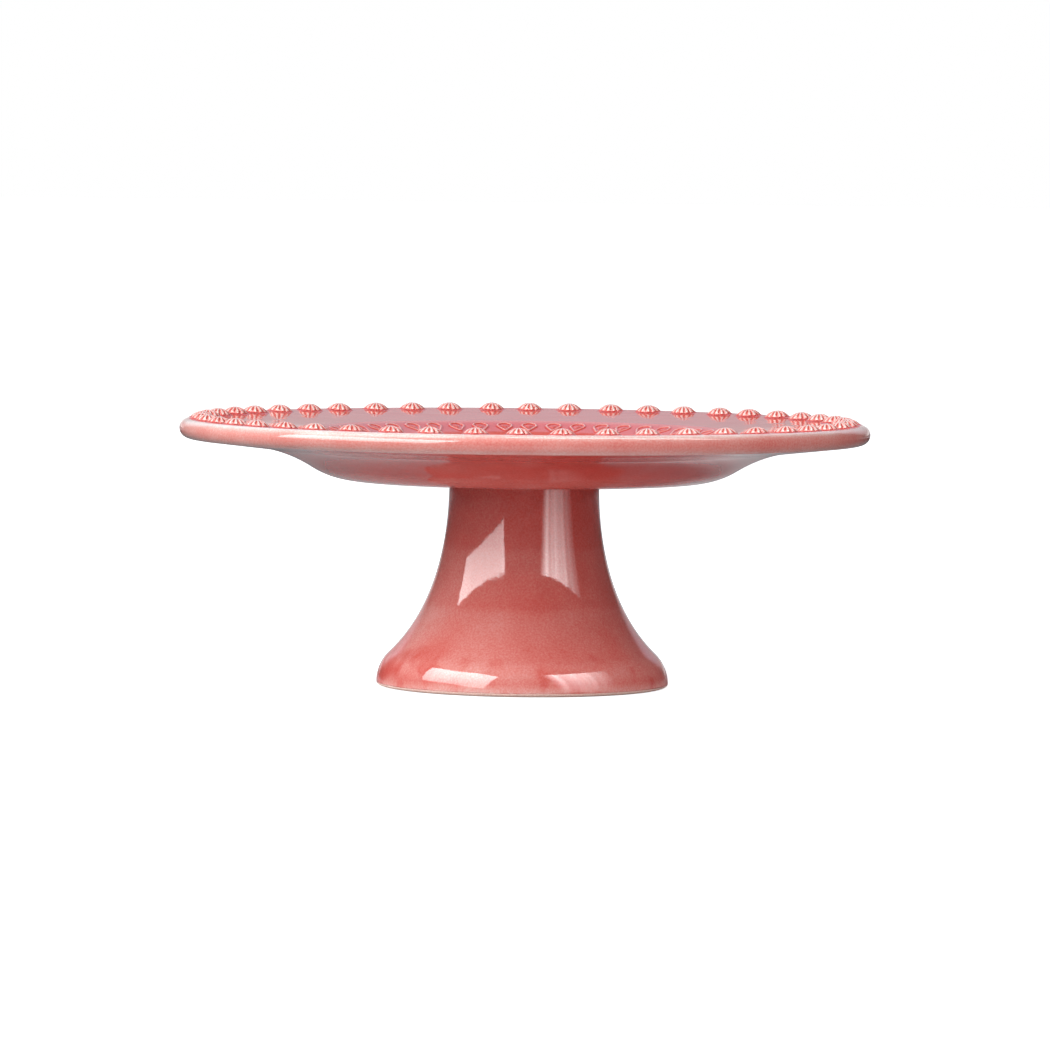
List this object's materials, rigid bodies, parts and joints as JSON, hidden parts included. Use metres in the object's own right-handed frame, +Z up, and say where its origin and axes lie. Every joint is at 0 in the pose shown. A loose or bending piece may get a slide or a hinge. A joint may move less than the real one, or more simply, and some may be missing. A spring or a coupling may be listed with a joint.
{
  "type": "cake stand",
  "caption": "Footed glazed stoneware cake stand: a broad coved plate with a rolled lip, fluted beads on the rim and raised drops on the cove, on a hollow bell-shaped pedestal.",
  "frame": {"origin": "centre of the standing edge, on the table", "axes": "+Z up along the axis of the stand; +X and +Y lie in the table, with +Y at the side away from the viewer"},
  "size_m": [0.29, 0.29, 0.1143],
  "materials": {
    "glaze": "glossy coral pink glaze, paler where it thins on the lip",
    "bead_glaze": "glossy glaze, nearly white on the ribs and coral in the flutes",
    "relief_glaze": "glossy glaze, pale on the raised outlines",
    "slip": "fired clay slip, matt",
    "bare_clay": "unglazed stoneware, matt"
  },
  "bodies": {
    "root": {"plate": "glaze", "drop_relief": "relief_glaze", "joint_seam": "slip", "pedestal": "glaze", "foot_ring": "bare_clay", "bead_01": "bead_glaze", "bead_02": "bead_glaze", "bead_03": "bead_glaze", "bead_04": "bead_glaze", "bead_05": "bead_glaze", "bead_06": "bead_glaze", "bead_07": "bead_glaze", "bead_08": "bead_glaze", "bead_09": "bead_glaze", "bead_10": "bead_glaze", "bead_11": "bead_glaze", "bead_12": "bead_glaze", "bead_13": "bead_glaze", "bead_14": "bead_glaze", "bead_15": "bead_glaze", "bead_16": "bead_glaze", "bead_17": "bead_glaze", "bead_18": "bead_glaze", "bead_19": "bead_glaze", "bead_20": "bead_glaze", "bead_21": "bead_glaze", "bead_22": "bead_glaze", "bead_23": "bead_glaze", "bead_24": "bead_glaze", "bead_25": "bead_glaze", "bead_26": "bead_glaze", "bead_27": "bead_glaze", "bead_28": "bead_glaze", "bead_29": "bead_glaze", "bead_30": "bead_glaze", "bead_31": "bead_glaze", "bead_32": "bead_glaze", "bead_33": "bead_glaze", "bead_34": "bead_glaze", "bead_35": "bead_glaze", "bead_36": "bead_glaze", "bead_37": "bead_glaze", "bead_38": "bead_glaze", "bead_39": "bead_glaze", "bead_40": "bead_glaze", "bead_41": "bead_glaze", "bead_42": "bead_glaze", "bead_43": "bead_glaze", "bead_44": "bead_glaze", "bead_45": "bead_glaze", "bead_46": "bead_glaze", "bead_47": "bead_glaze", "bead_48": "bead_glaze"}
  },
  "joints": []
}
